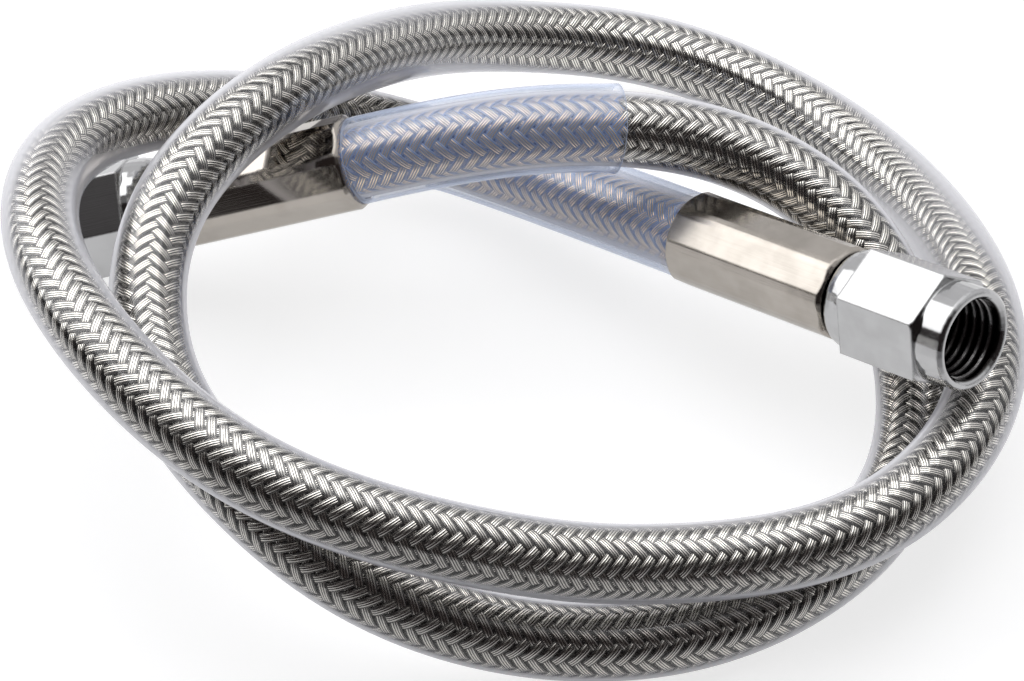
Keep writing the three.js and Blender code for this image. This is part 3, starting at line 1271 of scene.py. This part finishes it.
@dataclass(frozen=True)
class Lamp:
    """A square soft lamp that faces the coil.

    Args:
        name: the lamp's name.
        place: where it hangs.
        size: its side.
        power: its power in watts.
    """

    name: str
    place: Place
    size: float
    power: float

    def build(self) -> None:
        """Hangs the lamp."""
        data = bpy.data.lights.new(self.name, "AREA")
        data.shape = "SQUARE"
        data.size = self.size
        data.energy = self.power
        lamp = link(bpy.data.objects.new(self.name, data))
        lamp.location = self.place
        lamp.rotation_euler = (-Vector(self.place)).to_track_quat("-Z", "Y").to_euler()


@dataclass
class Studio:
    """Floor, lamps, world and camera.

    The camera's sensor and focal length are in millimetres, and its elevation is in degrees. The floor's
    glow is its own light as the camera sees it, and MIRRORED that light as the steel does, from the dark
    front to the back. The room brightens over ROOM_EDGE, backwards and upwards by ROOM_SLOPE.
    """

    sensor: float = 36.0
    focal: float = 5000 / 1024 * 36
    distance: float = 0.5306
    elevation: float = 45.0
    floor_size: float = 3.0
    floor_glow: float = 0.74
    lamps: tuple[Lamp, ...] = (
        Lamp("overhead", (0.0, 0.16, 0.62), 0.66, 2.15),
        Lamp("left", (-0.53, 0.22, 0.41), 0.62, 2.1),
    )

    FLOOR: Colour = (0.42, 0.42, 0.43, 1.0)
    ROOM_FRONT: Colour = (0.03, 0.025, 0.025, 1.0)
    ROOM_BACK: Colour = (0.8, 0.8, 0.81, 1.0)
    FRONT_EDGE = (-0.075, -0.03)
    MIRRORED = (0.03, 0.62)
    ROOM_SLOPE = (0.8, 0.6)
    ROOM_EDGE = (0.1, 0.5)
    ROOM_DIMMED = 0.45

    def camera(self) -> None:
        """Places the camera at the photograph's angle."""
        data = bpy.data.cameras.new("camera")
        data.sensor_width = self.sensor
        data.lens = self.focal
        data.clip_start = 0.01
        camera = link(bpy.data.objects.new("camera", data))
        tilt = math.radians(self.elevation)
        back = Vector((0.0, -math.cos(tilt), math.sin(tilt)))
        camera.location = ROUTE.offset() + back * self.distance
        camera.rotation_euler = (math.pi / 2 - tilt, 0.0, 0.0)
        bpy.context.scene.camera = camera

    def floor(self) -> None:
        """Lays the white floor. Its front lies in the dark for the steel's reflections."""
        shape = bmesh.new()
        bmesh.ops.create_grid(shape, x_segments=1, y_segments=1, size=self.floor_size)
        mesh = bpy.data.meshes.new("floor")
        shape.to_mesh(mesh)
        shape.free()
        material, graph, principled = new_material("floor")
        path = graph.node("ShaderNodeLightPath").outputs
        lit = graph.ramp(graph.parts(graph.spot())["Y"], *self.FRONT_EDGE, *self.MIRRORED)
        mirrored = graph.times(path["Is Glossy Ray"], lit)
        seen = graph.math("MAXIMUM", path["Is Camera Ray"], path["Is Transmission Ray"])
        glow = graph.math("MAXIMUM", graph.times(seen, self.floor_glow), mirrored)
        graph.fill(
            principled, Base_Color=self.FLOOR, Roughness=0.9, Specular_IOR_Level=0.1,
            Emission_Color=WHITE, Emission_Strength=glow,
        )
        add_object("floor", mesh, material)

    def world(self) -> None:
        """Fills the room with a pale light from above and behind, and leaves its front dark."""
        world = bpy.data.worlds.new("room")
        bpy.context.scene.world = world
        world.use_nodes = True
        graph = Graph(world.node_tree)
        background = world.node_tree.nodes["Background"]
        way = graph.parts(graph.node("ShaderNodeTexCoord").outputs["Generated"])
        back, up = self.ROOM_SLOPE
        behind = graph.math("ADD", graph.times(way["Y"], back), graph.times(way["Z"], up))
        share = graph.ramp(behind, *self.ROOM_EDGE)
        seen = graph.node("ShaderNodeLightPath").outputs["Is Diffuse Ray"]
        strength = graph.math("SUBTRACT", 1.0, graph.times(seen, self.ROOM_DIMMED))
        graph.fill(background, Color=graph.blend(share, self.ROOM_FRONT, self.ROOM_BACK), Strength=strength)

    def build(self) -> None:
        """Builds the floor, the world and the lamps."""
        self.floor()
        self.world()
        for lamp in self.lamps:
            lamp.build()
        bpy.context.scene.view_settings.view_transform = "Standard"


def main() -> None:
    """Builds the camera, the hose, its braid and sleeves, and dresses the fittings."""
    logging.basicConfig(level=logging.INFO, format="%(message)s")
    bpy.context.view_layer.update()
    studio = Studio()
    studio.camera()
    hose = ClearJacket()
    jacket = hose.build()
    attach(jacket, "hose_line")
    braid = WireBraid().build()
    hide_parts("steel_braid")
    for piece in braid:
        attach(piece, "hose_line")
        LOG.info("%s: %d faces", piece.name, len(piece.data.polygons))
    blue = SLEEVE_PLASTIC.make()
    sleeves = [SupportSleeve(end).build(blue) for end in End]
    for sleeve in sleeves:
        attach(sleeve, "hose_line")
        LOG.info("%s", sleeve.name)
    liner = frame["nodes"]["ptfe_liner"]
    dress(liner, LinerFinish().make())
    hose.declare()
    Fittings().build()
    studio.build()


if __name__ == "__main__":
    main()
